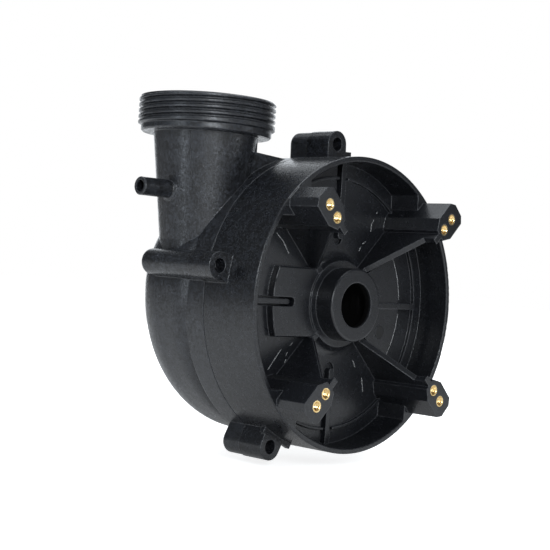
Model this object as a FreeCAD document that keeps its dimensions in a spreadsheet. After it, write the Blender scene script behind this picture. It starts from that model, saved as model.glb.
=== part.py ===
import FreeCAD, Part
import math
import os
import Sketcher

# Casing of a small centrifugal pump: a spiral volute with an upright threaded discharge, closed by a
# round motor bracket. Millimetres, +Z up. The shaft runs along Y; the motor side is at -Y and the origin
# lies on the shaft axis in the face of the hub.

SIZES = {
    # how far parts of one moulding run into each other
    "overlap": 1.0,
    # drum and parting face, distances along the shaft axis from the hub face
    "rim_y": -2.5,
    "joint_y": 35.7,
    "skirt_outer_radius": 82.95,
    "skirt_wall": 3.05,
    "rim_round": 0.7,
    "floor_y": 17.4,
    "floor_wall": 5.0,
    "register_wall": 4.1,
    "joint_chamfer": 0.3,
    "joint_gap": 0.3,
    "joint_gap_depth": 1.2,
    # hub and seal pocket
    "bore_radius": 12.7,
    "hub_radius": 20.6,
    "hub_collar_radius": 24.6,
    "hub_collar_y": 11.8,
    "hub_round": 1.2,
    "seal_lip": 4.5,
    "seal_radius": 17.2,
    "seal_boss_wall": 4.0,
    "seal_boss_depth": 13.0,
    # relief on the floor
    "plateau_y": 12.9,
    "plateau_radius": 53.4,
    "plateau_sink": 1.2,
    "plateau_round": 0.8,
    "left_plateau_half_angle": 21.0,
    "right_plateau_half_angle": 38.0,
    "ring_rib_radius": 71.2,
    "ring_rib_width": 1.4,
    "ring_rib_height": 2.0,
    "groove_inner_radius": 33.5,
    "groove_width": 7.6,
    "groove_depth": 2.0,
    "bar_width": 3.4,
    "bar_setback": 3.4,
    "left_groove_inner_radius": 36.7,
    "left_groove_width": 5.2,
    "left_bar_width": 2.9,
    "left_bar_setback": 1.2,
    "bar_y": 15.4,
    "ridge_width": 3.2,
    "ridge_radius": 67.0,
    "ridge_y": 11.6,
    # insert bosses and their webs
    "insert_square": 104.8,
    "inner_insert_square": 92.1,
    "insert_face_y": -22.8,
    "boss_outer_reach": 8.2,
    "boss_half_width": 7.7,
    "boss_inner_reach": 5.0,
    "boss_nose_half_width": 3.9,
    "boss_crown_half_width": 4.2,
    "boss_taper": 2.9,
    "boss_root_flare": 6.5,
    "insert_radius": 3.15,
    "insert_hole_radius": 2.05,
    "insert_length": 9.5,
    "insert_knurl_depth": 0.25,
    "insert_knurl_gap": 2.2,
    "insert_countersink": 0.45,
    "web_thickness": 3.4,
    "web_edge_radius": 57.2,
    "web_knee_y": -14.0,
    "web_tip_radius": 54.4,
    "web_step": 1.2,
    "web_step_length": 2.0,
    "web_root_radius": 28.5,
    "web_root_y": 12.2,
    # bolt tubes
    "tube_standoff": 7.45,
    "tube_radius": 7.5,
    "tube_rear_radius": 7.1,
    "tube_front_y": 18.5,
    "tube_hole_radius": 3.9,
    "tube_hole_depth": 7.5,
    "tube_top_angle": 92.6,
    "tube_neck_angle": 169.1,
    "tube_low_angle": 241.9,
    "tube_side_angle": 312.0,
    "tube_high_angle": 22.0,
    "neck_tube_end_y": 75.5,
    "tube_foot_sink": 1.5,
    "tube_end_round": 3.0,
    "toe_thickness": 3.0,
    "top_toe_reach": 12.0,
    "top_toe_rise": 3.55,
    "low_toe_reach": 14.2,
    "low_toe_rise": 2.05,
    "low_heel_reach": 9.2,
    "low_heel_rise": 3.25,
    # casing screws
    "screw_radius": 2.5,
    "screw_clearance": 0.35,
    "screw_bite": 8.0,
    "screw_head_radius": 4.6,
    "screw_head_height": 3.4,
    "screw_socket_radius": 2.3,
    "screw_socket_depth": 2.0,
    "screw_head_clearance": 0.4,
    "screw_sink": 4.2,
    # flange, register and seal ring of the volute
    "flange_rear_y": 50.2,
    "register_depth": 8.0,
    "register_clearance": 0.35,
    "register_ring_wall": 5.0,
    "ring_groove_depth": 2.4,
    "ring_groove_width": 4.4,
    "ring_groove_setback": 1.8,
    "ring_side_gap": 0.4,
    # scroll
    "scroll_start_radius": 64.0,
    "scroll_step": 7.26,
    "scroll_wall": 5.0,
    "scroll_back_y": 96.5,
    "scroll_round": 24.0,
    "scroll_shoulder_round": 24.0,
    # discharge neck
    "neck_x": -60.7,
    "neck_y": 67.0,
    "neck_base_z": -14.0,
    "neck_base_radius": 21.0,
    "neck_low_z": 30.0,
    "neck_low_radius": 22.3,
    "neck_top_radius": 29.4,
    "neck_wall": 4.3,
    "throat_base_z": -5.0,
    "throat_base_radius": 14.9,
    "gusset_front_y": 44.0,
    "gusset_rear_y": 62.0,
    "gusset_low_z": 60.0,
    "gusset_inner_x": -50.0,
    "gusset_cheek_x": -42.4,
    "gusset_top_z": 81.8,
    "gusset_dip_x": -20.0,
    "gusset_dip_z": 80.6,
    "gusset_end_x": -10.0,
    "gusset_end_z": 82.3,
    "head_base_z": 89.6,
    "head_top_z": 109.4,
    "head_crest_radius": 38.4,
    "head_band_radius": 36.6,
    "head_band_top_z": 93.2,
    "head_edge": 0.8,
    "head_top_edge": 1.0,
    "thread_pitch": 3.175,
    "thread_depth": 1.8,
    "thread_flat": 0.6,
    "thread_relief": 0.5,
    "thread_start": 1.6,
    # hose nipple on the neck
    "nipple_z": 57.2,
    "nipple_tip_x": -106.0,
    "nipple_radius": 5.0,
    "nipple_bore_radius": 3.3,
    "nipple_tip_edge": 0.5,
    "nipple_root_x": -87.4,
    "nipple_root_round": 1.5,
    # suction port at the back
    "suction_end_y": 122.0,
    "suction_bore_radius": 27.0,
    "suction_band": 5.0,
}

BOLT_TUBES = ("top", "neck", "low", "side", "high")
BOSS_ANGLE = 45
HEX_CORNERS = 6


class Dim:
    """A number together with the sheet expression that gives it."""

    def __init__(self, value, text):
        self.value = float(value)
        self.text = text

    def __add__(self, other):
        other = dim(other)
        return Dim(self.value + other.value, "(%s + %s)" % (self.text, other.text))

    def __sub__(self, other):
        other = dim(other)
        return Dim(self.value - other.value, "(%s - %s)" % (self.text, other.text))

    def __mul__(self, other):
        other = dim(other)
        return Dim(self.value * other.value, "(%s * %s)" % (self.text, other.text))

    def __truediv__(self, other):
        other = dim(other)
        return Dim(self.value / other.value, "(%s / %s)" % (self.text, other.text))

    def __neg__(self):
        return Dim(-self.value, "(0 - %s)" % self.text)


def dim(number):
    if isinstance(number, Dim):
        return number
    return Dim(number, "(%s)" % repr(float(number)))


def size(name):
    return Dim(SIZES[name], "sizes.%s" % name)


def cosine(angle):
    return Dim(math.cos(math.radians(angle.value)), "cos(%s * 1 deg)" % angle.text)


def sine(angle):
    return Dim(math.sin(math.radians(angle.value)), "sin(%s * 1 deg)" % angle.text)


doc = FreeCAD.newDocument("volute_pump_casing")


def write_sheet():
    sheet = doc.addObject("Spreadsheet::Sheet", "sizes")
    for row, (name, value) in enumerate(SIZES.items(), start=1):
        sheet.set("A%d" % row, name)
        sheet.set("B%d" % row, str(value))
        sheet.setAlias("B%d" % row, name)
    doc.recompute()


def new_body(name):
    body = doc.addObject("PartDesign::Body", name)
    body.Label = name
    return body


def origin_item(body, role):
    return next(item for item in body.Origin.OriginFeatures if item.Role == role)


def bind(item, prop, number):
    number = dim(number)
    item.setExpression(prop, number.text)


def place_sketch(body, name, plane, base, turn, about=(0, 0, 1)):
    """A sketch on an origin plane, shifted by base and turned about its normal or another of its axes."""
    sketch = body.newObject("Sketcher::SketchObject", name)
    sketch.AttachmentSupport = (origin_item(body, plane), [""])
    sketch.MapMode = "FlatFace"
    sketch.AttachmentOffset = FreeCAD.Placement(
        FreeCAD.Vector(*(dim(number).value for number in base)),
        FreeCAD.Rotation(FreeCAD.Vector(*about), dim(turn).value))
    for axis, number in zip("xyz", base):
        bind(sketch, "AttachmentOffset.Base.%s" % axis, number)
    if isinstance(turn, Dim):
        bind(sketch, "AttachmentOffset.Rotation.Angle", turn)
    return sketch


def pin(sketch, kind, geometry, point, number):
    """Hold one coordinate of a sketch point at a size."""
    if abs(number.value) < 1e-9:
        axis = -2 if kind == "DistanceX" else -1
        sketch.addConstraint(Sketcher.Constraint("PointOnObject", geometry, point, axis))
        return
    index = sketch.addConstraint(Sketcher.Constraint(kind, -1, 1, geometry, point, number.value))
    sketch.setExpression("Constraints[%d]" % index, number.text)


def outline(body, name, plane, corners, base=(0, 0, 0), turn=0, about=(0, 0, 1)):
    """A closed sketch. A corner is (x, y), or (x, y, radius, side) where an arc of that radius leaves it,
    or (x, y, side) for a half circle; side 1 bends the arc to the left, -1 to the right."""
    sketch = place_sketch(body, name, plane, base, turn, about)
    starts = []
    for here, after in zip(corners, corners[1:] + corners[:1]):
        a = FreeCAD.Vector(dim(here[0]).value, dim(here[1]).value, 0)
        b = FreeCAD.Vector(dim(after[0]).value, dim(after[1]).value, 0)
        if len(here) == 2:
            index = sketch.addGeometry(Part.LineSegment(a, b))
            starts.append((index, 1, 2))
            continue
        half = (b - a) * 0.5
        if len(here) == 3:
            radius, side = Dim(half.Length, ""), here[2]
        else:
            radius, side = dim(here[2]), here[3]
        rise = math.sqrt(max(radius.value ** 2 - half.Length ** 2, 0.0))
        normal = FreeCAD.Vector(-half.y, half.x, 0).normalize()
        centre = a + half + normal * (rise * side)
        first = math.atan2(a.y - centre.y, a.x - centre.x)
        last = math.atan2(b.y - centre.y, b.x - centre.x)
        circle = Part.Circle(centre, FreeCAD.Vector(0, 0, 1), radius.value)
        if side > 0:
            index = sketch.addGeometry(Part.ArcOfCircle(circle, first, last))
            starts.append((index, 1, 2))
        else:
            index = sketch.addGeometry(Part.ArcOfCircle(circle, last, first))
            starts.append((index, 2, 1))
    for (index, _, end), (following, start, _) in zip(starts, starts[1:] + starts[:1]):
        sketch.addConstraint(Sketcher.Constraint("Coincident", index, end, following, start))
    for (index, start, _), corner in zip(starts, corners):
        pin(sketch, "DistanceX", index, start, dim(corner[0]))
        pin(sketch, "DistanceY", index, start, dim(corner[1]))
        if len(corner) == 4:
            radius = dim(corner[2])
            held = sketch.addConstraint(Sketcher.Constraint("Radius", index, radius.value))
            sketch.setExpression("Constraints[%d]" % held, radius.text)
        if len(corner) == 3:
            upright = abs(sketch.getPoint(index, 1).x - sketch.getPoint(index, 2).x) < 1e-6
            pin(sketch, "DistanceX" if upright else "DistanceY", index, 3, dim(corner[0 if upright else 1]))
    return sketch


def rings(body, name, plane, circles, base=(0, 0, 0), turn=0):
    """A sketch of full circles, each (x, y, radius)."""
    sketch = place_sketch(body, name, plane, base, turn)
    for x, y, radius in circles:
        x, y, radius = dim(x), dim(y), dim(radius)
        circle = Part.Circle(FreeCAD.Vector(x.value, y.value, 0), FreeCAD.Vector(0, 0, 1), radius.value)
        index = sketch.addGeometry(circle)
        pin(sketch, "DistanceX", index, 3, x)
        pin(sketch, "DistanceY", index, 3, y)
        held = sketch.addConstraint(Sketcher.Constraint("Radius", index, radius.value))
        sketch.setExpression("Constraints[%d]" % held, radius.text)
    return sketch


def add(body, kind, name, sketch, **numbers):
    feature = body.newObject("PartDesign::%s" % kind, name)
    feature.Profile = sketch
    sketch.Visibility = False
    for prop, number in numbers.items():
        bind(feature, prop, number)
    return feature


def turn_about(body, kind, name, sketch, axis="V_Axis"):
    feature = add(body, kind, name, sketch)
    feature.ReferenceAxis = (sketch, [axis])
    feature.Angle = 360
    return feature


def around(body, name, features, count=4):
    pattern = body.newObject("PartDesign::PolarPattern", name)
    pattern.Originals = features
    pattern.Axis = (origin_item(body, "Y_Axis"), [""])
    pattern.Angle = 360
    pattern.Occurrences = count
    body.Tip = pattern
    return pattern


def dress_edges(body, kind, name, wanted, prop, number):
    """Round or chamfer the edges of the last feature that the test picks out."""
    doc.recompute()
    last = body.Tip
    edges = [i for i, edge in enumerate(last.Shape.Edges, start=1) if wanted(edge)]
    feature = body.newObject("PartDesign::%s" % kind, name)
    feature.Base = (last, ["Edge%d" % i for i in edges])
    bind(feature, prop, number)
    return feature


def round_edges(body, name, wanted, radius):
    return dress_edges(body, "Fillet", name, wanted, "Radius", radius)


def chamfer_edges(body, name, wanted, width):
    return dress_edges(body, "Chamfer", name, wanted, "Size", width)


def lies_at(edge, y):
    """True for an edge that lies wholly in the plane at this distance."""
    return all(abs(point.y - y.value) < 0.01 for point in edge.discretize(5))


def is_ring(edge, radius, y):
    """True for a circle round the shaft axis at this radius and distance."""
    curve = edge.Curve
    return (curve.TypeId == "Part::GeomCircle" and abs(curve.Radius - radius.value) < 0.01
            and abs(curve.Center.y - y.value) < 0.01 and abs(curve.Axis.y) > 0.99
            and math.hypot(curve.Center.x, curve.Center.z) < 0.01)


def tube_angle(which):
    return size("tube_%s_angle" % which)


def insert_radii():
    diagonal = math.sqrt(0.5)
    return size("insert_square") * diagonal, size("inner_insert_square") * diagonal


def skirt_inner():
    return size("skirt_outer_radius") - size("skirt_wall")


def register_bore():
    return size("skirt_outer_radius") - size("register_wall")


def register_ring():
    """Outer radius of the volute's ring that enters the bracket."""
    return register_bore() - size("register_clearance")


def tube_circle():
    """Distance from the shaft axis to the middle of each bolt tube."""
    return size("skirt_outer_radius") + size("tube_standoff")


def screw_seat():
    return size("flange_rear_y") - size("screw_sink")


# Motor bracket

def bracket_section(body):
    """The skirt, floor, flared hub and seal pocket as one turned section, its front edges rounded."""
    outer = size("skirt_outer_radius")
    edge = size("joint_chamfer")
    floor_back = size("floor_y") + size("floor_wall")
    seal_back = floor_back + size("seal_boss_depth")
    seal_outer = size("seal_radius") + size("seal_boss_wall")
    flare = size("floor_y") - size("hub_collar_y")
    sketch = outline(body, "bracket_section", "XY_Plane", [
        (size("bore_radius"), 0),
        (size("hub_radius"), 0),
        (size("hub_radius"), size("hub_collar_y")),
        (size("hub_collar_radius"), size("hub_collar_y"), flare, -1),
        (size("hub_collar_radius") + flare, size("floor_y")),
        (skirt_inner(), size("floor_y")),
        (skirt_inner(), size("rim_y")),
        (outer, size("rim_y")),
        (outer, size("joint_y") - edge),
        (outer - edge, size("joint_y")),
        (register_bore(), size("joint_y")),
        (register_bore(), floor_back),
        (seal_outer, floor_back),
        (seal_outer, seal_back),
        (size("seal_radius"), seal_back),
        (size("seal_radius"), size("seal_lip")),
        (size("bore_radius"), size("seal_lip")),
    ])
    turn_about(body, "Revolution", "bracket_drum", sketch)
    rim = size("rim_y")
    round_edges(body, "rim_rounds", lambda edge: is_ring(edge, outer, rim) or is_ring(edge, skirt_inner(), rim),
                size("rim_round"))
    round_edges(body, "hub_round", lambda edge: is_ring(edge, size("hub_radius"), dim(0)), size("hub_round"))


def plateau(body, name, turn, half_angle, inner, narrowing):
    """A raised field of the floor from the hub out to the plateau radius, its sides radial or parallel."""
    outer = size("plateau_radius")
    across, along = cosine(half_angle), sine(half_angle)
    near = (inner * across, inner * along) if narrowing else (inner, outer * along)
    sketch = outline(body, name + "_sketch", "XZ_Plane", [
        (near[0], -near[1]),
        (outer * across, -outer * along, outer, 1),
        (outer * across, outer * along),
        near,
    ], base=(0, 0, -(size("floor_y") + size("plateau_sink"))), turn=turn)
    depth = size("floor_y") + size("plateau_sink") - size("plateau_y")
    add(body, "Pad", name, sketch, Length=depth)


def plateaus(body):
    plateau(body, "right_plateau", 0, size("right_plateau_half_angle"), size("hub_radius"), True)
    plateau(body, "left_plateau", 180, size("left_plateau_half_angle"), size("seal_radius") + size("overlap"),
            False)
    height = size("plateau_y")
    side = size("plateau_radius") * sine(size("left_plateau_half_angle"))
    round_edges(body, "plateau_rounds", lambda edge: is_ring(edge, size("plateau_radius"), height)
                or (lies_at(edge, height) and edge.CenterOfMass.x < 0
                    and abs(abs(edge.CenterOfMass.z) - side.value) < 0.01), size("plateau_round"))


def ring_rib(body):
    half = size("ring_rib_width") / 2
    radius = size("ring_rib_radius")
    top = size("floor_y") - size("ring_rib_height")
    sketch = outline(body, "ring_rib_section", "XY_Plane", [
        (radius - half, top),
        (radius + half, top),
        (radius + half, size("floor_y") + size("overlap")),
        (radius - half, size("floor_y") + size("overlap")),
    ])
    turn_about(body, "Revolution", "ring_rib", sketch)


def radial_groove(body, name, turn, inner, width, bar_width, setback):
    """A round-nosed channel in the floor with a bar standing in it."""
    half = width / 2
    reach = skirt_inner()
    start = inner + half
    channel = outline(body, name + "_channel_sketch", "XZ_Plane", [
        (start, -half),
        (reach, -half),
        (reach, half),
        (start, half, 1),
    ], base=(0, 0, -size("hub_collar_y")), turn=turn)
    bottom = size("floor_y") + size("groove_depth")
    add(body, "Pocket", name + "_channel", channel, Length=bottom - size("hub_collar_y"))
    thick = bar_width / 2
    first = inner + setback + thick
    bar = outline(body, name + "_bar_sketch", "XZ_Plane", [
        (first, -thick),
        (reach + size("overlap"), -thick),
        (reach + size("overlap"), thick),
        (first, thick, 1),
    ], base=(0, 0, -(bottom + size("overlap"))), turn=turn)
    add(body, "Pad", name + "_bar", bar, Length=bottom + size("overlap") - size("bar_y"))


def radial_grooves(body):
    radial_groove(body, "left_groove", 180, size("left_groove_inner_radius"), size("left_groove_width"),
                  size("left_bar_width"), size("left_bar_setback"))
    for name, turn in (("upper_groove", 90), ("lower_groove", 270)):
        radial_groove(body, name, turn, size("groove_inner_radius"), size("groove_width"), size("bar_width"),
                      size("bar_setback"))


def right_ridge(body):
    thick = size("ridge_width") / 2
    start = size("hub_radius") - size("overlap")
    foot = size("floor_y") + size("overlap")
    sketch = outline(body, "right_ridge_sketch", "XZ_Plane", [
        (start, -thick),
        (size("ridge_radius"), -thick),
        (size("ridge_radius"), thick),
        (start, thick),
    ], base=(0, 0, -foot))
    add(body, "Pad", "right_ridge", sketch, Length=foot - size("ridge_y"))


def insert_bosses(body):
    """One boss for two inserts, its foot on the skirt and the web that ties it to the hub."""
    outer, inner = insert_radii()
    crown = outer + size("boss_outer_reach")
    wide = size("boss_half_width")
    nose = inner - size("boss_inner_reach")
    taper = size("boss_taper")
    lap = size("overlap")
    foot_y = size("floor_y") + lap
    sketch = outline(body, "boss_sketch", "XZ_Plane", [
        (nose, -size("boss_nose_half_width")),
        (inner + lap, -wide),
        (crown - taper, -wide),
        (crown, -size("boss_crown_half_width")),
        (crown, size("boss_crown_half_width")),
        (crown - taper, wide),
        (inner + lap, wide),
        (nose, size("boss_nose_half_width")),
    ], base=(0, 0, -foot_y), turn=BOSS_ANGLE)
    boss = add(body, "Pad", "insert_boss", sketch, Length=foot_y - size("insert_face_y"))
    flare = size("boss_root_flare")
    foot = outline(body, "boss_foot_sketch", "XZ_Plane", [
        (crown - taper - flare, -wide),
        (skirt_inner() - lap, -wide - flare),
        (skirt_inner() + lap, -wide - flare),
        (skirt_inner() + lap, wide + flare),
        (skirt_inner() - lap, wide + flare),
        (crown - taper - flare, wide),
    ], base=(0, 0, -foot_y), turn=BOSS_ANGLE)
    gusset = add(body, "Pad", "boss_foot", foot, Length=foot_y - size("rim_y"))
    edge = size("web_edge_radius") - size("web_step")
    web = outline(body, "web_sketch", "XY_Plane", [
        (size("hub_radius") - lap, foot_y),
        (size("hub_radius") - lap, size("web_root_y")),
        (size("web_root_radius"), size("web_root_y")),
        (edge, size("web_knee_y")),
        (edge, size("insert_face_y") + size("web_step_length")),
        (size("web_tip_radius"), size("insert_face_y")),
        (inner, size("insert_face_y")),
        (inner, foot_y),
    ], turn=BOSS_ANGLE, about=(0, 1, 0))
    fin = add(body, "Pad", "web", web, Length=size("web_thickness"))
    fin.Midplane = True
    return boss, gusset, fin


def boss_holes(body):
    outer, inner = insert_radii()
    face = -size("insert_face_y")
    seats = rings(body, "insert_seat_sketch", "XZ_Plane", [
        (outer, 0, size("insert_radius")),
        (inner, 0, size("insert_radius")),
    ], base=(0, 0, face), turn=BOSS_ANGLE)
    return add(body, "Pocket", "insert_seats", seats, Length=size("insert_length"))


def tube_profile(radius):
    """A round tube with a straight-sided foot that runs into the drum."""
    centre = tube_circle()
    foot = size("skirt_outer_radius") - size("tube_foot_sink")
    return [
        (foot, -radius),
        (centre, -radius, 1),
        (centre, radius),
        (foot, radius),
    ]


def tube_circles(radius):
    """One circle on the centre of each bolt tube."""
    reach = tube_circle()
    return [(reach * cosine(tube_angle(which)), reach * sine(tube_angle(which)), radius)
            for which in BOLT_TUBES]


def toe(body, name, which, side):
    """A thin plate beside the foot of a tube, level with its front face."""
    foot = size("skirt_outer_radius") - size("tube_foot_sink")
    outer = size("skirt_outer_radius") + size(name + "_rise")
    reach = size(name + "_reach") * side
    corners = [
        (foot, 0),
        (outer, 0),
        (outer, reach),
        (foot, reach),
    ]
    back = size("tube_front_y") + size("toe_thickness")
    sketch = outline(body, name + "_sketch", "XZ_Plane", corners, base=(0, 0, -back), turn=tube_angle(which))
    add(body, "Pad", name, sketch, Length=size("toe_thickness"))


def tube_toes(body):
    toe(body, "top_toe", "top", -1)
    toe(body, "low_toe", "low", 1)
    toe(body, "low_heel", "low", -1)


def front_tubes(body):
    length = size("joint_y") - size("tube_front_y")
    for which in BOLT_TUBES:
        shape = outline(body, "front_tube_%s_sketch" % which, "XZ_Plane", tube_profile(size("tube_radius")),
                        base=(0, 0, -size("joint_y")), turn=tube_angle(which))
        add(body, "Pad", "front_tube_%s" % which, shape, Length=length)
    front = (0, 0, -size("tube_front_y"))
    mouths = rings(body, "mouth_sketch", "XZ_Plane", tube_circles(size("tube_hole_radius")), base=front)
    add(body, "Pocket", "tube_mouths", mouths, Length=size("tube_hole_depth"))
    pilots = rings(body, "pilot_sketch", "XZ_Plane", tube_circles(size("screw_radius")), base=front)
    add(body, "Pocket", "tube_pilots", pilots, Length=length)


def motor_bracket():
    body = new_body("motor_bracket")
    bracket_section(body)
    plateaus(body)
    ring_rib(body)
    radial_grooves(body)
    right_ridge(body)
    around(body, "boss_pattern", list(insert_bosses(body)))
    around(body, "insert_seat_pattern", [boss_holes(body)])
    tube_toes(body)
    front_tubes(body)
    return body


# Volute

def scroll_outline(body, name, inset, y):
    """Four quarter arcs about the corners of a small square, closed by a level line over the tongue."""
    half = size("scroll_step") / 2
    first = size("scroll_start_radius") + half - inset
    second = first + size("scroll_step")
    third = second + size("scroll_step")
    last = size("scroll_start_radius") - half - inset
    top = size("scroll_start_radius") - inset
    left = half + third
    return outline(body, name, "XZ_Plane", [
        (half, top),
        (last - left, top, last, 1),
        (-left, half, third, 1),
        (-half, half - third, second, 1),
        (half + first, -half, first, 1),
    ], base=(0, 0, -y))


def volute_ring(body):
    """The flange with the ring that enters the bracket, grooved for the seal and set back at the joint."""
    outer = size("skirt_outer_radius")
    spigot = register_ring()
    front = size("joint_y") - size("register_depth")
    seat = spigot - size("ring_groove_depth")
    groove_start = front + size("ring_groove_setback")
    groove_end = groove_start + size("ring_groove_width")
    gap = size("joint_y") + size("joint_gap")
    edge = size("joint_chamfer")
    sketch = outline(body, "ring_section", "XY_Plane", [
        (size("bore_radius"), front),
        (spigot, front),
        (spigot, groove_start),
        (seat, groove_start),
        (seat, groove_end),
        (spigot, groove_end),
        (spigot, size("joint_y")),
        (outer - size("joint_gap_depth"), size("joint_y")),
        (outer - size("joint_gap_depth"), gap),
        (outer - edge, gap),
        (outer, gap + edge),
        (outer, size("flange_rear_y")),
        (size("bore_radius"), size("flange_rear_y")),
    ])
    turn_about(body, "Revolution", "flange_and_register", sketch)


def neck_and_head(body):
    sketch = outline(body, "neck_section", "XZ_Plane", [
        (0, size("neck_base_z")),
        (size("neck_base_radius"), size("neck_base_z")),
        (size("neck_low_radius"), size("neck_low_z")),
        (size("neck_top_radius"), size("head_base_z")),
        (size("head_band_radius") - size("head_edge"), size("head_base_z")),
        (size("head_band_radius"), size("head_base_z") + size("head_edge")),
        (size("head_band_radius"), size("head_band_top_z")),
        (size("head_crest_radius"), size("head_band_top_z") + size("head_edge")),
        (size("head_crest_radius"), size("head_top_z") - size("head_top_edge")),
        (size("head_crest_radius") - size("head_top_edge"), size("head_top_z")),
        (0, size("head_top_z")),
    ], base=(size("neck_x"), 0, -size("neck_y")))
    turn_about(body, "Revolution", "neck_and_head", sketch)


def neck_gusset(body):
    """The web that ties the neck to the flange, its top dipping between them."""
    depth = size("gusset_rear_y") - size("gusset_front_y")
    sketch = outline(body, "neck_gusset_sketch", "XZ_Plane", [
        (size("gusset_inner_x"), size("gusset_low_z")),
        (size("gusset_end_x"), size("gusset_low_z")),
        (size("gusset_end_x"), size("gusset_end_z")),
        (size("gusset_dip_x"), size("gusset_dip_z")),
        (size("gusset_cheek_x"), size("gusset_top_z")),
        (size("gusset_cheek_x"), size("head_base_z")),
        (size("gusset_inner_x"), size("head_base_z")),
    ], base=(0, 0, -size("gusset_rear_y")))
    add(body, "Pad", "neck_gusset", sketch, Length=depth)


def nipple(body):
    """A plain hose nipple, its tip chamfered and its root flared into the neck."""
    radius = size("nipple_radius")
    tip = size("nipple_tip_x")
    edge = size("nipple_tip_edge")
    root = size("nipple_root_x")
    flare = size("nipple_root_round")
    sketch = outline(body, "nipple_section", "XZ_Plane", [
        (tip, 0),
        (size("neck_x"), 0),
        (size("neck_x"), radius + flare),
        (root + flare, radius + flare, flare, -1),
        (root, radius),
        (tip + edge, radius),
        (tip, radius - edge),
    ], base=(0, size("nipple_z"), -size("neck_y")))
    turn_about(body, "Revolution", "nipple", sketch, axis="H_Axis")


def rear_tubes(body):
    for which in BOLT_TUBES:
        end = size("neck_tube_end_y") if which == "neck" else size("flange_rear_y")
        shape = outline(body, "rear_tube_%s_sketch" % which, "XZ_Plane", tube_profile(size("tube_rear_radius")),
                        base=(0, 0, -end), turn=tube_angle(which))
        add(body, "Pad", "rear_tube_%s" % which, shape, Length=end - size("joint_gap") - size("joint_y"))


def at_tube_end(edge):
    """True for the half circle round the rear end of a bolt tube."""
    curve = edge.Curve
    if curve.TypeId != "Part::GeomCircle" or abs(curve.Axis.y) < 0.99:
        return False
    reach = math.hypot(curve.Center.x, curve.Center.z)
    ends = (size("flange_rear_y"), size("neck_tube_end_y"))
    return (abs(curve.Radius - size("tube_rear_radius").value) < 0.01
            and abs(reach - tube_circle().value) < 0.01
            and any(lies_at(edge, end) for end in ends))


def rear_tube_holes(body):
    """Clearance holes for the casing screws and the wells that take their heads."""
    seat = screw_seat()
    holes = rings(body, "screw_hole_sketch", "XZ_Plane",
                  tube_circles(size("screw_radius") + size("screw_clearance")), base=(0, 0, -size("joint_y")))
    add(body, "Pocket", "screw_holes", holes, Length=seat - size("joint_y"))
    wells = rings(body, "screw_well_sketch", "XZ_Plane",
                  tube_circles(size("screw_head_radius") + size("screw_head_clearance")), base=(0, 0, -seat))
    add(body, "Pocket", "screw_wells", wells, Length=size("neck_tube_end_y") - seat)


def suction_port(body):
    crest = size("head_crest_radius")
    band = size("head_band_radius")
    back = size("scroll_back_y")
    start = back + size("suction_band")
    inner = size("suction_bore_radius") - size("overlap")
    sketch = outline(body, "suction_section", "XY_Plane", [
        (inner, back - size("scroll_wall")),
        (band, back - size("scroll_wall")),
        (band, start),
        (crest, start + size("head_edge")),
        (crest, size("suction_end_y") - size("head_top_edge")),
        (crest - size("head_top_edge"), size("suction_end_y")),
        (inner, size("suction_end_y")),
    ])
    turn_about(body, "Revolution", "suction_port", sketch)


def passages(body):
    """The spiral chamber, the diverging discharge, the suction bore and the nipple bore."""
    wall = size("scroll_wall")
    start = size("flange_rear_y") - wall
    depth = size("scroll_back_y") - wall - start
    front = size("joint_y") - size("register_depth")
    mouth = rings(body, "register_bore_sketch", "XZ_Plane",
                  [(0, 0, register_ring() - size("register_ring_wall"))], base=(0, 0, -front))
    add(body, "Pocket", "register_bore", mouth, Length=start - front)
    core = new_body("chamber_core")
    chamber = scroll_outline(core, "chamber_sketch", wall, start + depth)
    add(core, "Pad", "chamber", chamber, Length=depth)
    round_edges(core, "chamber_round", lambda edge: lies_at(edge, start + depth), size("scroll_round") - wall)
    cut = body.newObject("PartDesign::Boolean", "chamber_cut")
    cut.setObjects([core])
    cut.Type = "Cut"
    neck_wall = size("neck_wall")
    throat = outline(body, "throat_section", "XZ_Plane", [
        (0, size("throat_base_z")),
        (size("throat_base_radius"), size("throat_base_z")),
        (size("neck_low_radius") - neck_wall, size("neck_low_z")),
        (size("neck_top_radius") - neck_wall, size("head_base_z")),
        (size("neck_top_radius") - neck_wall, size("head_top_z")),
        (0, size("head_top_z")),
    ], base=(size("neck_x"), 0, -size("neck_y")))
    turn_about(body, "Groove", "throat", throat)
    eye = outline(body, "eye_section", "XY_Plane", [
        (0, size("flange_rear_y")),
        (size("suction_bore_radius"), size("flange_rear_y")),
        (size("suction_bore_radius"), size("suction_end_y")),
        (0, size("suction_end_y")),
    ])
    turn_about(body, "Groove", "suction_bore", eye)
    hose = rings(body, "nipple_bore_sketch", "YZ_Plane",
                 [(size("neck_y"), size("nipple_z"), size("nipple_bore_radius"))],
                 base=(0, 0, size("neck_x")))
    add(body, "Pocket", "nipple_bore", hose, Length=size("neck_x") - size("nipple_tip_x"))


def cut_thread(body, name, plane, base, start, end):
    """A helical groove cut into the crest cylinder round the sketch's upright axis."""
    crest = size("head_crest_radius")
    depth = size("thread_depth")
    flat = size("thread_flat") / 2
    mouth = size("thread_pitch") / 2 - flat
    profile = outline(body, name + "_sketch", plane, [
        (crest - depth, start - flat),
        (crest + size("thread_relief"), start - mouth),
        (crest + size("thread_relief"), start + mouth),
        (crest - depth, start + flat),
    ], base=base)
    groove = body.newObject("PartDesign::SubtractiveHelix", name)
    groove.Profile = profile
    groove.ReferenceAxis = (profile, ["V_Axis"])
    groove.Mode = 0
    bind(groove, "Pitch", size("thread_pitch"))
    bind(groove, "Height", end - start + size("thread_pitch"))
    profile.Visibility = False
    return groove


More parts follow.
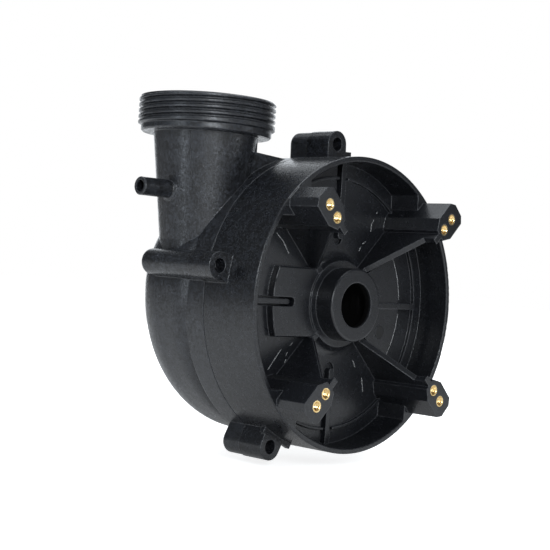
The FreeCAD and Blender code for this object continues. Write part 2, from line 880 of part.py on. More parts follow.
def volute_casing():
    body = new_body("volute_casing")
    back = size("scroll_back_y")
    front = size("joint_y") + size("joint_gap")
    scroll = scroll_outline(body, "scroll_sketch", dim(0), back)
    add(body, "Pad", "scroll", scroll, Length=back - front)
    round_edges(body, "scroll_round", lambda edge: lies_at(edge, back), size("scroll_round"))
    round_edges(body, "scroll_shoulder", lambda edge: lies_at(edge, front), size("scroll_shoulder_round"))
    volute_ring(body)
    rear_tubes(body)
    round_edges(body, "tube_end_rounds", at_tube_end, size("tube_end_round"))
    neck_gusset(body)
    neck_and_head(body)
    nipple(body)
    suction_port(body)
    passages(body)
    rear_tube_holes(body)
    cut_thread(body, "head_thread", "XZ_Plane", (size("neck_x"), 0, -size("neck_y")),
               size("head_band_top_z") + size("thread_start"), size("head_top_z"))
    cut_thread(body, "suction_thread", "XY_Plane", (0, 0, 0),
               size("scroll_back_y") + size("suction_band") + size("thread_start"), size("suction_end_y"))
    return body


# Small parts

def at_insert_mouth(edge):
    curve = edge.Curve
    return (curve.TypeId == "Part::GeomCircle" and abs(curve.Radius - size("insert_hole_radius").value) < 0.01
            and lies_at(edge, size("insert_face_y")))


def threaded_inserts():
    body = new_body("threaded_inserts")
    outer, inner = insert_radii()
    face = -size("insert_face_y")
    radius = size("insert_radius")
    sleeves = rings(body, "sleeve_sketch", "XZ_Plane", [
        (outer, 0, radius), (outer, 0, size("insert_hole_radius")),
        (inner, 0, radius), (inner, 0, size("insert_hole_radius")),
    ], base=(0, 0, face - size("insert_length")), turn=BOSS_ANGLE)
    sleeve = add(body, "Pad", "sleeves", sleeves, Length=size("insert_length"))
    waist = radius - size("insert_knurl_depth")
    bands = rings(body, "waist_sketch", "XZ_Plane", [
        (outer, 0, radius + size("overlap")), (outer, 0, waist),
        (inner, 0, radius + size("overlap")), (inner, 0, waist),
    ], base=(0, 0, face - size("insert_knurl_gap")), turn=BOSS_ANGLE)
    cut = add(body, "Pocket", "waists", bands, Length=size("insert_knurl_gap"))
    around(body, "insert_pattern", [sleeve, cut])
    chamfer_edges(body, "countersinks", at_insert_mouth, size("insert_countersink"))
    return body


def body_o_ring():
    body = new_body("body_o_ring")
    bore = register_bore()
    seat = register_ring() - size("ring_groove_depth")
    half = (bore - seat) / 2
    start = size("joint_y") - size("register_depth") + size("ring_groove_setback") + size("ring_side_gap")
    end = start + size("ring_groove_width") - size("ring_side_gap") * 2
    sketch = outline(body, "ring_cross_section", "XY_Plane", [
        (seat, start + half, 1),
        (bore, start + half),
        (bore, end - half, 1),
        (seat, end - half),
    ])
    turn_about(body, "Revolution", "ring", sketch)
    return body


def casing_screws():
    body = new_body("casing_screws")
    seat = screw_seat()
    reach = size("joint_y") - size("screw_bite")
    shanks = rings(body, "shank_sketch", "XZ_Plane", tube_circles(size("screw_radius")), base=(0, 0, -seat))
    add(body, "Pad", "shanks", shanks, Length=seat - reach)
    top = seat + size("screw_head_height")
    heads = rings(body, "head_sketch", "XZ_Plane", tube_circles(size("screw_head_radius")), base=(0, 0, -top))
    add(body, "Pad", "heads", heads, Length=size("screw_head_height"))
    base = (0, 0, -(top - size("screw_socket_depth")))
    circle = tube_circle()
    side = size("screw_socket_radius")
    step = dim(360 / HEX_CORNERS)
    for which in BOLT_TUBES:
        corners = [(circle + side * cosine(step * corner), side * sine(step * corner))
                   for corner in range(HEX_CORNERS)]
        socket = outline(body, "socket_%s_sketch" % which, "XZ_Plane", corners, base=base,
                         turn=tube_angle(which))
        add(body, "Pocket", "socket_%s" % which, socket, Length=size("screw_socket_depth"))
    return body


def check(bodies):
    doc.recompute()
    for item in doc.Objects:
        if "Invalid" in item.State or "Error" in item.State:
            raise RuntimeError("%s: %s" % (item.Name, item.getStatusString()))
    for body in bodies:
        if body.Shape.isNull() or not body.Shape.isValid():
            raise RuntimeError("%s has no valid shape" % body.Label)


write_sheet()
pieces = [volute_casing(), motor_bracket(), threaded_inserts(), body_o_ring(), casing_screws()]
check(pieces)
os.makedirs("parts", exist_ok=True)
for piece in pieces:
    piece.Shape.exportStep("parts/%s.step" % piece.Label)
    print(piece.Label, len(piece.Shape.Solids), "solids", round(piece.Shape.Volume), "mm3")
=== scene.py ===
import math
import random

import bmesh
import bpy
from mathutils import Matrix, Vector


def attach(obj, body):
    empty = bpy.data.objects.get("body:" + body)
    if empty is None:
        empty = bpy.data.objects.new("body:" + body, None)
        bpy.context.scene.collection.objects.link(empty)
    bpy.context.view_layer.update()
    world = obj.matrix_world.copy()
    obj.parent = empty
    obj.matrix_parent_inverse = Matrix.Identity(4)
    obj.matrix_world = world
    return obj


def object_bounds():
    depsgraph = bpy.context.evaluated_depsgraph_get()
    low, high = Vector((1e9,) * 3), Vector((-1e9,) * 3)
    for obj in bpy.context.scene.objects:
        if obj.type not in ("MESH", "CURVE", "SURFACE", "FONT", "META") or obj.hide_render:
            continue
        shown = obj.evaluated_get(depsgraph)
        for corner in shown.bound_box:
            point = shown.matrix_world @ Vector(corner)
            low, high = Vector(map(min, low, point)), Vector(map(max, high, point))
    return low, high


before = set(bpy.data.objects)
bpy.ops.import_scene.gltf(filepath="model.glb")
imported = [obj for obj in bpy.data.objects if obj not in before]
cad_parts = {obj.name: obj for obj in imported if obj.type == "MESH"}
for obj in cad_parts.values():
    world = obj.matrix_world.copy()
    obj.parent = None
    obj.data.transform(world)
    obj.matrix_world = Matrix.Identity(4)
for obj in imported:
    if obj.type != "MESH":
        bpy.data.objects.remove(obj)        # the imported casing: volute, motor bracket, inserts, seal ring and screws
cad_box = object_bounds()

MM = 0.001

# Camera of the photograph, solved from the casing's own circles and squares: metres, then degrees, then
# millimetres of lens and film.
CAMERA_PLACE = (-0.54116, -0.46554, 0.01536)
CAMERA_AZIMUTH = 45.56
CAMERA_RISE = 0.11
CAMERA_ROLL = 3.78
CAMERA_LENS = 83.38
FILM_WIDTH = 36.0
CAMERA_NEAR = 10 * MM


# Materials

PLASTIC_DARK = (0.003, 0.003, 0.0035)
VOLUTE_LIGHT = (0.04, 0.043, 0.05)
BRACKET_LIGHT = (0.022, 0.024, 0.029)
# Painted highlight: a paler colour laid along the edges in place of light caught on their rounding.
PAINTED_EDGE_HIGHLIGHT = (0.06, 0.062, 0.068)
PLASTIC_IOR = 1.52
PLASTIC_GLOSS = 0.5
EDGE_ROUNDING = 0.8 * MM
EDGE_SAMPLES = 6

# The painted edge highlight starts where the rounded normal leans away, by the cosine of the lean.
EDGE_HIGHLIGHT_STARTS = 0.995
EDGE_HIGHLIGHT_FULL = 0.85

# The mottle of the skin is grain with a share of clouds. It is strong on the upper part, fades between two
# heights and is calm inside the drum.
CLOUD_SHARE = 0.6
LIGHT_SHARE = 0.4
MOTTLE_LOW = 0.68
MOTTLE_MIDDLE = 0.8
MOTTLE_HIGH = 0.94
MOTTLE_ENDS = -40 * MM
MOTTLE_STARTS = 25 * MM
LOW_MOTTLE = 0.35
CALM_MOTTLE = 2 / 7

DUST = (0.2, 0.2, 0.21)
DUST_STARTS = 0.72
DUST_FULL = 0.78
DUST_COVER = 0.5

# Where the outer skin ends, by distance from the shaft axis and by depth behind the hub's face.
SKIRT_RADIUS = 82.95 * MM
SKIN_STARTS = SKIRT_RADIUS - 2 * MM
SKIN_FULL = SKIRT_RADIUS - 0.5 * MM
JOINT_DEPTH = 35.7 * MM

# The hub's bore and the seal pocket, which hardly any light reaches. Painted shade there: the colour is made near
# black, and the gloss weak and rough.
BORE_RADIUS = 17.8 * MM
BORE_STARTS = 0.5 * MM
BORE_FULL = 2 * MM
BORE_PAINTED_SHADE = 0.001
BORE_ROUGHNESS = 0.8
BORE_GLOSS = 0.12


def new_material(name):
    material = bpy.data.materials.new(name)
    material.use_nodes = True
    tree = material.node_tree
    tree.nodes.clear()
    output = tree.nodes.new("ShaderNodeOutputMaterial")
    shader = tree.nodes.new("ShaderNodeBsdfPrincipled")
    tree.links.new(shader.outputs["BSDF"], output.inputs["Surface"])
    return material, tree, shader


def place_in_part(tree):
    return tree.nodes.new("ShaderNodeTexCoord").outputs["Object"]


def noise(tree, scale, detail, roughness, distortion=0.0):
    node = tree.nodes.new("ShaderNodeTexNoise")
    node.inputs["Scale"].default_value = scale
    node.inputs["Detail"].default_value = detail
    node.inputs["Roughness"].default_value = roughness
    node.inputs["Distortion"].default_value = distortion
    tree.links.new(place_in_part(tree), node.inputs["Vector"])
    return node.outputs["Fac"]


def grey(value):
    """A colour with its alpha, from a colour or from one level of grey."""
    if isinstance(value, tuple):
        return (*value, 1.0)
    return (value, value, value, 1.0)


def ramp(tree, source, stops):
    """A ramp through stops, each a place and the grey or colour there."""
    node = tree.nodes.new("ShaderNodeValToRGB")
    elements = node.color_ramp.elements
    for element, (place, value) in zip((elements[0], elements[1]), (stops[0], stops[-1])):
        element.position = place
        element.color = grey(value)
    for place, value in stops[1:-1]:
        elements.new(place).color = grey(value)
    tree.links.new(source, node.inputs["Fac"])
    return node.outputs["Color"]


def step_up(tree, source, low, high):
    """Nought up to low, one from high on and even between them. High may be the smaller number."""
    node = tree.nodes.new("ShaderNodeMapRange")
    node.inputs["From Min"].default_value = low
    node.inputs["From Max"].default_value = high
    tree.links.new(source, node.inputs["Value"])
    return node.outputs["Result"]


def bump(tree, source, distance, strength, below=None):
    node = tree.nodes.new("ShaderNodeBump")
    node.inputs["Distance"].default_value = distance
    node.inputs["Strength"].default_value = strength
    tree.links.new(source, node.inputs["Height"])
    if below is not None:
        tree.links.new(below, node.inputs["Normal"])
    return node.outputs["Normal"]


def product(tree, first, second):
    node = tree.nodes.new("ShaderNodeMath")
    node.operation = "MULTIPLY"
    tree.links.new(first, node.inputs[0])
    tree.links.new(second, node.inputs[1])
    return node.outputs[0]


def weighted(tree, first, second, weight):
    """first + weight * second"""
    node = tree.nodes.new("ShaderNodeMath")
    node.operation = "MULTIPLY_ADD"
    node.inputs[1].default_value = weight
    tree.links.new(second, node.inputs[0])
    tree.links.new(first, node.inputs[2])
    return node.outputs[0]


def raised(tree, source, amount):
    node = tree.nodes.new("ShaderNodeMath")
    node.operation = "ADD"
    node.inputs[1].default_value = amount
    tree.links.new(source, node.inputs[0])
    return node.outputs[0]


def laid_over(tree, under, over, amount):
    """The colour or number under, with a plain one laid on it where amount is high."""
    node = tree.nodes.new("ShaderNodeMixRGB")
    tree.links.new(amount, node.inputs["Fac"])
    tree.links.new(under, node.inputs["Color1"])
    node.inputs["Color2"].default_value = grey(over)
    return node.outputs["Color"]


def blended(tree, first, second, amount):
    node = tree.nodes.new("ShaderNodeMixRGB")
    tree.links.new(amount, node.inputs["Fac"])
    tree.links.new(first, node.inputs["Color1"])
    tree.links.new(second, node.inputs["Color2"])
    return node.outputs["Color"]


def softened_edges(tree, radius):
    """Rounds the look of the edges, which are sharp or nearly so in the solids."""
    node = tree.nodes.new("ShaderNodeBevel")
    node.samples = EDGE_SAMPLES
    node.inputs["Radius"].default_value = radius
    return node.outputs["Normal"]


def painted_edge_highlight_mask(tree, rounded):
    """Where the painted edge highlight lies: one along an edge and nought on flat ground, from how far the rounded
    normal leans away.
    """
    face = tree.nodes.new("ShaderNodeNewGeometry")
    lean = tree.nodes.new("ShaderNodeVectorMath")
    lean.operation = "DOT_PRODUCT"
    tree.links.new(rounded, lean.inputs[0])
    tree.links.new(face.outputs["Normal"], lean.inputs[1])
    return step_up(tree, lean.outputs["Value"], EDGE_HIGHLIGHT_STARTS, EDGE_HIGHLIGHT_FULL)


def axis_distance(tree):
    """Distance from the shaft axis, which is the Y axis."""
    flat = tree.nodes.new("ShaderNodeVectorMath")
    flat.operation = "MULTIPLY"
    flat.inputs[1].default_value = (1.0, 0.0, 1.0)
    away = tree.nodes.new("ShaderNodeVectorMath")
    away.operation = "LENGTH"
    tree.links.new(place_in_part(tree), flat.inputs[0])
    tree.links.new(flat.outputs["Vector"], away.inputs[0])
    return away.outputs["Value"]


def coordinate(tree, axis):
    split = tree.nodes.new("ShaderNodeSeparateXYZ")
    tree.links.new(place_in_part(tree), split.inputs[0])
    return split.outputs[axis]


def outside_skin(tree, away):
    """One on the outer skin and behind the joint, nought inside the bracket's drum."""
    either = tree.nodes.new("ShaderNodeMath")
    either.operation = "MAXIMUM"
    tree.links.new(step_up(tree, away, SKIN_STARTS, SKIN_FULL), either.inputs[0])
    tree.links.new(step_up(tree, coordinate(tree, "Y"), JOINT_DEPTH - MM, JOINT_DEPTH), either.inputs[1])
    return either.outputs[0]


def inside_bore(tree, away):
    """One in the hub's bore and the seal pocket behind it."""
    near = ramp(tree, step_up(tree, away, BORE_RADIUS, BORE_RADIUS + MM), [(0.0, 1.0), (1.0, 0.0)])
    return product(tree, near, step_up(tree, coordinate(tree, "Y"), BORE_STARTS, BORE_FULL))


def upper_part(tree):
    """One on the upper part, where the mottle is strong, and low under it."""
    height = step_up(tree, coordinate(tree, "Z"), MOTTLE_ENDS, MOTTLE_STARTS)
    return ramp(tree, height, [(0.0, LOW_MOTTLE), (1.0, 1.0)])


def calmed(tree, mottle, share):
    """The mottle at full strength where share is one and weak where it is nought, about its middle value."""
    strength = tree.nodes.new("ShaderNodeMapRange")
    strength.inputs["To Min"].default_value = CALM_MOTTLE
    tree.links.new(share, strength.inputs["Value"])
    apart = raised(tree, mottle, -MOTTLE_MIDDLE)
    return raised(tree, product(tree, apart, strength.outputs["Result"]), MOTTLE_MIDDLE)


def mottled_colour(tree, mottle, dark, light):
    middle = tuple(LIGHT_SHARE * a + (1 - LIGHT_SHARE) * b for a, b in zip(light, dark))
    centre = (MOTTLE_LOW + MOTTLE_HIGH) / 2
    return ramp(tree, mottle, [(MOTTLE_LOW, dark), (centre, middle), (MOTTLE_HIGH, light)])


def dusty(tree, colour, skin):
    specks = noise(tree, scale=1500.0, detail=1.0, roughness=0.4)
    cover = ramp(tree, specks, [(DUST_STARTS, 0.0), (DUST_FULL, DUST_COVER)])
    return laid_over(tree, colour, DUST, product(tree, cover, skin))


def moulded_plastic(name, dark, light, rough_low, rough_high, texture):
    """Black glass-filled plastic: mottled skin where the glass lies near the surface, flow marks, dust on
    the outer skin, a painted highlight that colours the edges paler, and painted shade in the bore."""
    material, tree, shader = new_material(name)
    clouds = noise(tree, scale=260.0, detail=4.0, roughness=0.6, distortion=0.9)
    grain = noise(tree, scale=900.0, detail=3.0, roughness=0.6, distortion=0.5)
    flow = noise(tree, scale=42.0, detail=3.0, roughness=0.5, distortion=0.6)
    rounded = softened_edges(tree, EDGE_ROUNDING)
    away = axis_distance(tree)
    skin = outside_skin(tree, away)
    bore = inside_bore(tree, away)
    mottled = product(tree, skin, upper_part(tree))
    mottle = calmed(tree, weighted(tree, grain, clouds, CLOUD_SHARE), mottled)

    colour = dusty(tree, mottled_colour(tree, mottle, dark, light), skin)
    # Painted highlight: the edges coloured paler.
    edge_highlighted = laid_over(tree, colour, PAINTED_EDGE_HIGHLIGHT, painted_edge_highlight_mask(tree, rounded))
    # Painted shade: the bore and the seal pocket coloured near black.
    tree.links.new(laid_over(tree, edge_highlighted, BORE_PAINTED_SHADE, bore), shader.inputs["Base Color"])

    rough = ramp(tree, mottle, [(MOTTLE_LOW, rough_high), (MOTTLE_HIGH, rough_low)])
    tree.links.new(laid_over(tree, rough, BORE_ROUGHNESS, bore), shader.inputs["Roughness"])
    gloss = ramp(tree, bore, [(0.0, PLASTIC_GLOSS), (1.0, BORE_GLOSS)])
    tree.links.new(gloss, shader.inputs["Specular IOR Level"])
    shader.inputs["IOR"].default_value = PLASTIC_IOR

    broad = bump(tree, flow, distance=0.6 * MM, strength=0.25, below=rounded)
    peel = bump(tree, clouds, distance=0.2 * MM, strength=texture, below=broad)
    fine = bump(tree, grain, distance=0.1 * MM, strength=texture, below=peel)
    tree.links.new(blended(tree, broad, fine, mottled), shader.inputs["Normal"])
    return material


def flash_and_highlight_plastic():
    """Thin flash and scuffs on the moulding, paler than the skin because they are thin and rough. Along the right
    plateau's edge the same pale colour is a painted highlight.
    """
    material, tree, shader = new_material("flash_and_highlight_plastic")
    grain = noise(tree, scale=2600.0, detail=3.0, roughness=0.6)
    tree.links.new(ramp(tree, grain, [(0.35, 0.1), (0.65, 0.6)]), shader.inputs["Base Color"])
    tree.links.new(ramp(tree, grain, [(0.3, 0.25), (0.7, 0.45)]), shader.inputs["Roughness"])
    tree.links.new(bump(tree, grain, distance=0.05 * MM, strength=0.4), shader.inputs["Normal"])
    return material


def brass():
    material, tree, shader = new_material("turned_brass")
    shader.inputs["Metallic"].default_value = 1.0
    stain = noise(tree, scale=900.0, detail=4.0, roughness=0.6)
    tree.links.new(ramp(tree, stain, [(0.3, (0.72, 0.46, 0.16)), (0.7, (1.0, 0.8, 0.42))]),
                   shader.inputs["Base Color"])
    tree.links.new(ramp(tree, stain, [(0.3, 0.36), (0.7, 0.2)]), shader.inputs["Roughness"])
    lines = noise(tree, scale=5200.0, detail=2.0, roughness=0.5)
    tree.links.new(bump(tree, lines, distance=0.03 * MM, strength=0.3), shader.inputs["Normal"])
    return material


def steel():
    material, tree, shader = new_material("screw_steel")
    shader.inputs["Metallic"].default_value = 1.0
    grain = noise(tree, scale=1600.0, detail=3.0, roughness=0.6)
    tree.links.new(ramp(tree, grain, [(0.3, 0.42), (0.7, 0.6)]), shader.inputs["Base Color"])
    tree.links.new(ramp(tree, grain, [(0.3, 0.4), (0.7, 0.26)]), shader.inputs["Roughness"])
    tree.links.new(bump(tree, grain, distance=0.02 * MM, strength=0.3), shader.inputs["Normal"])
    return material


def rubber():
    material, tree, shader = new_material("seal_rubber")
    grain = noise(tree, scale=2400.0, detail=3.0, roughness=0.6)
    tree.links.new(ramp(tree, grain, [(0.3, 0.012), (0.7, 0.03)]), shader.inputs["Base Color"])
    shader.inputs["Roughness"].default_value = 0.62
    tree.links.new(bump(tree, grain, distance=0.04 * MM, strength=0.4), shader.inputs["Normal"])
    return material


def dress(node, material):
    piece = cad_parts[node]
    piece.data.materials.clear()
    piece.data.materials.append(material)


# Small marks of the moulding and the threads of the inserts, in millimetres

TOWARDS_MOTOR = Vector((0, -1, 0))

RIDGE_SINK = 0.1
RIDGE_CREST = 0.4
RIDGE_TIP = 0.25

# Strokes on the bracket's floor, each through points (x, z).
FLOOR_Y = 17.4
FLASH_STROKES = {
    "flash_left_fillet": ((-49.8, 37.0), (-44.0, 32.6), (-39.0, 26.1)),
    "flash_curl_top": ((33.6, 55.0), (32.6, 53.6)),
    "flash_curl": ((31.0, 50.6), (28.9, 47.4), (28.6, 42.7)),
    "flash_curl_middle": ((24.6, 37.0), (23.6, 36.0), (21.6, 35.2)),
    "flash_curl_foot": ((20.6, 33.6), (19.2, 30.8)),
    "flash_low_short": ((-40.0, -26.0), (-49.6, -37.5)),
    "flash_fleck_1": ((-37.0, -33.8), (-35.8, -31.6)),
    "flash_fleck_2": ((-36.4, -29.9), (-35.0, -27.8)),
    "flash_fleck_3": ((-33.4, -24.2), (-31.4, -22.4)),
    "flash_low_tick": ((20.0, -32.3), (22.7, -36.7)),
    "flash_low_stroke": ((28.9, -42.6), (30.0, -47.0), (30.9, -51.4)),
}
FLASH_WIDTH = 0.6
FLASH_HEIGHT = 0.4
FLASH_STEP = 0.6
FLASH_RAGGED = 0.6

# A painted highlight on the edge of the right plateau: a thin pale ridge between two angles in degrees above and below
# the ridge there.
PLATEAU_Y = 12.9
EDGE_RADIUS = 53.1
EDGE_ARCS = {"flash_edge_high": (4.5, 33.0), "flash_edge_low": (-33.0, -4.5)}
EDGE_WIDTH = 0.4
EDGE_HEIGHT = 0.25
EDGE_STEPS = 40

EJECTOR_PLACE = (37.3, -15.4)
EJECTOR_RADIUS = 4.2
EJECTOR_HEIGHT = 0.22
EJECTOR_SINK = 0.05
EJECTOR_DRAFT = 0.12
EJECTOR_SIDES = 40

NECK_X = -60.7
NECK_Y = 67.0
NECK_LOW_Z = 30.0
NECK_LOW_RADIUS = 22.3
NECK_TOP_Z = 89.6
NECK_TOP_RADIUS = 29.4
SEAM_Y = 52.2
SEAM_FOOT_Z = 58.0
SEAM_HEAD_Z = NECK_TOP_Z - 0.2
SEAM_WIDTH = 0.7
SEAM_HEIGHT = 0.35
SEAM_STEP = 1.5
SEAM_RAGGED = 0.25

INSERT_SQUARES = (104.8, 92.1)
CORNER_SIGNS = ((1, 1), (-1, 1), (-1, -1), (1, -1))
INSERT_MOUTH_Y = -22.3
THREAD_ROOT = 2.1
THREAD_CREST = 1.7
THREAD_PITCH = 0.8
THREAD_TURNS = 9
THREAD_STEPS = 24
THREAD_SECTION = ((THREAD_ROOT, 0.0), (THREAD_CREST, 0.45), (THREAD_ROOT, 0.9))


def add_piece(name, corners, faces, material):
    mesh = bpy.data.meshes.new(name)
    mesh.from_pydata([Vector(corner) * MM for corner in corners], [], faces)
    mesh.materials.append(material)
    piece = bpy.data.objects.new(name, mesh)
    bpy.context.collection.objects.link(piece)
    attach(piece, "root")


def subdivided(points, step):
    path = []
    for start, end in zip(points, points[1:]):
        count = max(1, round((end - start).length / step))
        path += [start.lerp(end, index / count) for index in range(count)]
    return path + [points[-1]]


def swept_faces(sections, sides):
    """Faces of a closed section carried along a path, without its ends."""
    faces = []
    for index in range(sections - 1):
        here = sides * index
        there = here + sides
        for k in range(sides):
            following = (k + 1) % sides
            faces.append((here + k, there + k, there + following, here + following))
    return faces


def add_ridge(name, path, outward, width, height, material, ragged):
    """A fine ridge along a path on a surface, four corners to a section, tapered to both ends."""
    chance = random.Random(name)
    corners = []
    last = len(path) - 1
    for index, point in enumerate(path):
        out = outward(point)
        ahead = path[min(index + 1, last)] - path[max(index - 1, 0)]
        side = ahead.cross(out).normalized()
        taper = min(1.0, RIDGE_TIP + index, RIDGE_TIP + last - index)
        rise = out * height * taper * (1.0 - ragged * chance.random())
        half = side * width * 0.5 * taper * (1.0 - ragged * chance.random())
        crest = half * RIDGE_CREST
        foot = point - out * RIDGE_SINK
        corners += [foot + half, point + crest + rise, point - crest + rise, foot - half]
    ends = [(0, 1, 2, 3), tuple(4 * last + k for k in (3, 2, 1, 0))]
    add_piece(name, corners, ends + swept_faces(len(path), 4), material)


def towards_motor(point):
    """The way out of the bracket's flat faces, the same at every point."""
    return TOWARDS_MOTOR


def add_flash(material):
    """Stray flash and scuffs on the bracket's floor."""
    for name, points in FLASH_STROKES.items():
        path = subdivided([Vector((x, FLOOR_Y, z)) for x, z in points], FLASH_STEP)
        add_ridge(name, path, towards_motor, FLASH_WIDTH, FLASH_HEIGHT, material, FLASH_RAGGED)


def add_plateau_edge_highlight(material):
    """A thin raised pale strip along the rounded edge of the right plateau: a painted highlight of that edge."""
    for name, (start, end) in EDGE_ARCS.items():
        angles = [math.radians(start + (end - start) * step / EDGE_STEPS) for step in range(EDGE_STEPS + 1)]
        path = [Vector((EDGE_RADIUS * math.cos(angle), PLATEAU_Y, EDGE_RADIUS * math.sin(angle)))
                for angle in angles]
        add_ridge(name, path, towards_motor, EDGE_WIDTH, EDGE_HEIGHT, material, FLASH_RAGGED)


def add_ejector_mark(material):
    """A low round disc on the right plateau, its side leaning in."""
    x, z = EJECTOR_PLACE
    foot = (EJECTOR_RADIUS, PLATEAU_Y + EJECTOR_SINK)
    top = (EJECTOR_RADIUS - EJECTOR_DRAFT, PLATEAU_Y - EJECTOR_HEIGHT)
    corners = []
    for radius, y in (foot, top):
        for index in range(EJECTOR_SIDES):
            angle = 2 * math.pi * index / EJECTOR_SIDES
            corners.append((x + radius * math.cos(angle), y, z + radius * math.sin(angle)))
    front = tuple(range(EJECTOR_SIDES, 2 * EJECTOR_SIDES))
    back = tuple(reversed(range(EJECTOR_SIDES)))
    side = [(first, *reversed(others)) for first, *others in swept_faces(2, EJECTOR_SIDES)]
    add_piece("ejector_mark", corners, [*side, front, back], material)


def neck_radius(z):
    share = (z - NECK_LOW_Z) / (NECK_TOP_Z - NECK_LOW_Z)
    return NECK_LOW_RADIUS + share * (NECK_TOP_RADIUS - NECK_LOW_RADIUS)


def on_neck(z):
    """The point of the parting seam at this height."""
    across = math.sqrt(neck_radius(z) ** 2 - (SEAM_Y - NECK_Y) ** 2)
    return Vector((NECK_X - across, SEAM_Y, z))


def out_of_neck(point):
    return Vector((point.x - NECK_X, point.y - NECK_Y, 0)).normalized()


def add_neck_seam(material):
    """The mould's parting seam down the side of the neck, from the head to the nipple's height."""
    path = subdivided([on_neck(SEAM_HEAD_Z), on_neck(SEAM_FOOT_Z)], SEAM_STEP)
    add_ridge("neck_seam", path, out_of_neck, SEAM_WIDTH, SEAM_HEIGHT, material, SEAM_RAGGED)


def thread_corners():
    """A helix inside one insert: root, crest and root again at each step."""
    corners = []
    for index in range(THREAD_TURNS * THREAD_STEPS + 1):
        angle = 2 * math.pi * index / THREAD_STEPS
        y = INSERT_MOUTH_Y + THREAD_PITCH * index / THREAD_STEPS
        for radius, share in THREAD_SECTION:
            corners.append((radius * math.cos(angle), y + share * THREAD_PITCH, radius * math.sin(angle)))
    return corners


def add_insert_threads(material):
    corners = thread_corners()
    sides = len(THREAD_SECTION)
    end = len(corners) - 1
    faces = [(0, 1, 2), (end, end - 1, end - 2), *swept_faces(len(corners) // sides, sides)]
    for row, square in enumerate(INSERT_SQUARES):
        for number, (right, up) in enumerate(CORNER_SIGNS):
            x = right * square / 2
            z = up * square / 2
            moved = [(a + x, y, b + z) for a, y, b in corners]
            add_piece("insert_thread_%d" % (4 * row + number + 1), moved, faces, material)


# Camera, stage and light

FLOOR_DROP = 4 * MM
FLOOR_GREY = 0.86
FLOOR_SIDES = 64
BACKDROP_RADIUS = 6.0
GLOW_STARTS = 0.6
GLOW_FULL = 2.0
GLOW_NEAR = 0.8
GLOW_IN_REFLECTIONS = 0.3
SKY_TINT = (0.93, 0.96, 1.0)
SKY_STRENGTH = 0.1

COOL = (0.9, 0.95, 1.0)
BLUISH = (0.82, 0.91, 1.0)
HUB = (0.0, 0.0, 0.0)
SCROLL_SIDE = (-0.06, 0.06, 0.03)


def add_camera():
    azimuth, rise, roll = (math.radians(v) for v in (CAMERA_AZIMUTH, CAMERA_RISE, CAMERA_ROLL))
    forward = Vector((math.sin(azimuth) * math.cos(rise),
                      math.cos(azimuth) * math.cos(rise),
                      -math.sin(rise)))
    level = Vector((math.cos(azimuth), -math.sin(azimuth), 0.0))
    upright = level.cross(forward)
    right = math.cos(roll) * level + math.sin(roll) * upright
    up = -math.sin(roll) * level + math.cos(roll) * upright
    turn = Matrix((right, up, -forward)).transposed().to_4x4()
    data = bpy.data.cameras.new("photo_camera")
    data.lens = CAMERA_LENS
    data.sensor_width = FILM_WIDTH
    data.sensor_fit = "HORIZONTAL"
    data.clip_start = CAMERA_NEAR
    camera = bpy.data.objects.new("photo_camera", data)
    camera.matrix_world = Matrix.Translation(CAMERA_PLACE) @ turn
    bpy.context.collection.objects.link(camera)
    bpy.context.scene.camera = camera


def far_is_brighter(tree):
    """Glow of the floor: low near the object, where light falls on it, and full beyond the lamps."""
    away = tree.nodes.new("ShaderNodeVectorMath")
    away.operation = "LENGTH"
    tree.links.new(place_in_part(tree), away.inputs[0])
    span = tree.nodes.new("ShaderNodeMapRange")
    span.inputs["From Min"].default_value = GLOW_STARTS
    span.inputs["From Max"].default_value = GLOW_FULL
    span.inputs["To Min"].default_value = GLOW_NEAR
    tree.links.new(away.outputs["Value"], span.inputs["Value"])
    return span.outputs["Result"]


def backdrop_material():
    """Pale floor that keeps a soft shadow and reads as white to the camera."""
    material = bpy.data.materials.new("pale_floor")
    material.use_nodes = True
    tree = material.node_tree
    tree.nodes.clear()
    output = tree.nodes.new("ShaderNodeOutputMaterial")
    plain = tree.nodes.new("ShaderNodeBsdfDiffuse")
    plain.inputs["Color"].default_value = grey(FLOOR_GREY)
    glow = tree.nodes.new("ShaderNodeEmission")
    glow.inputs["Color"].default_value = grey(1.0)
    tree.links.new(far_is_brighter(tree), glow.inputs["Strength"])
    total = tree.nodes.new("ShaderNodeAddShader")
    path = tree.nodes.new("ShaderNodeLightPath")
    seen = weighted(tree, path.outputs["Is Camera Ray"], path.outputs["Is Glossy Ray"], GLOW_IN_REFLECTIONS)
    only_plain = tree.nodes.new("ShaderNodeMixShader")
    tree.links.new(plain.outputs[0], total.inputs[0])
    tree.links.new(glow.outputs[0], total.inputs[1])
    tree.links.new(seen, only_plain.inputs[0])
    tree.links.new(plain.outputs[0], only_plain.inputs[1])
    tree.links.new(total.outputs[0], only_plain.inputs[2])
    tree.links.new(only_plain.outputs[0], output.inputs["Surface"])
    return material


def add_stage():
    mesh = bpy.data.meshes.new("floor")
    shape = bmesh.new()
    bmesh.ops.create_circle(shape, cap_ends=True, segments=FLOOR_SIDES, radius=BACKDROP_RADIUS)
    shape.to_mesh(mesh)
    shape.free()
    mesh.materials.append(backdrop_material())
    floor = bpy.data.objects.new("floor", mesh)
    floor.location = (0.0, 0.0, cad_box[0][2] - FLOOR_DROP)
    bpy.context.collection.objects.link(floor)


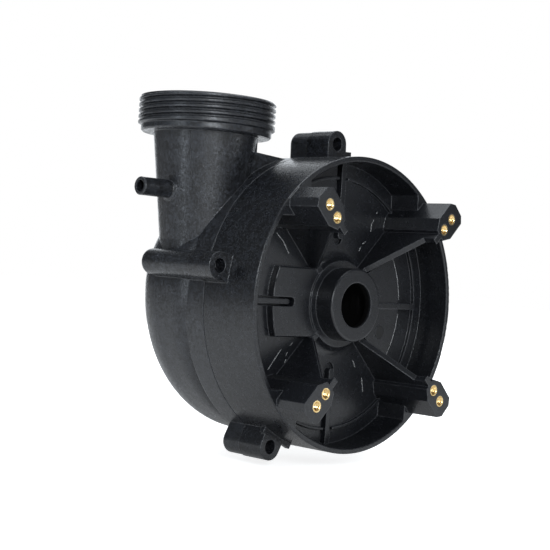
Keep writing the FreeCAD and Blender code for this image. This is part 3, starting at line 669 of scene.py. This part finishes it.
def add_world():
    """Faint daylight all round, which the camera sees as plain white."""
    world = bpy.data.worlds.new("studio")
    bpy.context.scene.world = world
    world.use_nodes = True
    tree = world.node_tree
    tree.nodes.clear()
    output = tree.nodes.new("ShaderNodeOutputWorld")
    soft = tree.nodes.new("ShaderNodeBackground")
    soft.inputs["Color"].default_value = grey(SKY_TINT)
    soft.inputs["Strength"].default_value = SKY_STRENGTH
    white = tree.nodes.new("ShaderNodeBackground")
    white.inputs["Color"].default_value = grey(1.0)
    white.inputs["Strength"].default_value = 1.0
    choose = tree.nodes.new("ShaderNodeMixShader")
    path = tree.nodes.new("ShaderNodeLightPath")
    tree.links.new(path.outputs["Is Camera Ray"], choose.inputs[0])
    tree.links.new(soft.outputs[0], choose.inputs[1])
    tree.links.new(white.outputs[0], choose.inputs[2])
    tree.links.new(choose.outputs[0], output.inputs["Surface"])


def add_lamp(name, place, aim, size, power, tint):
    """A panel of light at place that faces aim, its size as width and height."""
    data = bpy.data.lights.new(name, "AREA")
    data.shape = "RECTANGLE"
    data.size, data.size_y = size
    data.energy = power
    data.color = tint
    lamp = bpy.data.objects.new(name, data)
    lamp.location = place
    lamp.visible_camera = False
    lamp.rotation_euler = (Vector(aim) - Vector(place)).to_track_quat("-Z", "Y").to_euler()
    bpy.context.collection.objects.link(lamp)


def add_lamps():
    add_lamp("overhead_box", (0.05, 0.15, 1.0), (-0.02, 0.03, 0.0), (1.0, 1.0), 8.5, COOL)
    add_lamp("back_panel", (1.1, 1.1, 0.35), HUB, (2.0, 1.3), 15.0, COOL)
    add_lamp("back_left_panel", (-0.9, 0.95, 0.25), (-0.03, 0.03, 0.0), (1.1, 1.3), 0.3, BLUISH)
    add_lamp("left_strip", (-1.2, 0.06, 0.25), SCROLL_SIDE, (0.25, 1.1), 3.4, BLUISH)
    add_lamp("front_strip", (-0.4, -1.15, 0.3), SCROLL_SIDE, (0.22, 0.9), 2.2, COOL)
    add_lamp("front_panel", (0.48, -1.19, 0.25), HUB, (0.5, 0.9), 0.3, COOL)
    add_lamp("near_panel", (0.2, -0.33, 0.06), (-0.04, 0.01, 0.0), (0.1, 0.3), 0.11, COOL)
    add_lamp("camera_side", (-0.75, -1.0, 0.4), HUB, (0.35, 0.35), 7.0, COOL)


volute_plastic = moulded_plastic("volute_plastic", PLASTIC_DARK, VOLUTE_LIGHT,
                                 rough_low=0.24, rough_high=0.42, texture=0.5)
bracket_plastic = moulded_plastic("bracket_plastic", PLASTIC_DARK, BRACKET_LIGHT,
                                  rough_low=0.22, rough_high=0.36, texture=0.3)
ejector_plastic = moulded_plastic("ejector_mark_plastic", PLASTIC_DARK, PLASTIC_DARK,
                                  rough_low=0.5, rough_high=0.6, texture=0.3)
insert_brass = brass()
dress("volute_casing", volute_plastic)
dress("motor_bracket", bracket_plastic)
dress("threaded_inserts", insert_brass)
dress("casing_screws", steel())
dress("body_o_ring", rubber())

flash_and_edge_highlight = flash_and_highlight_plastic()
add_flash(flash_and_edge_highlight)
# Painted highlight: a pale strip along the right plateau's edge.
add_plateau_edge_highlight(flash_and_edge_highlight)
add_ejector_mark(ejector_plastic)
add_neck_seam(volute_plastic)
add_insert_threads(insert_brass)

add_camera()
add_stage()
add_world()
add_lamps()

bpy.context.scene.view_settings.view_transform = "Standard"
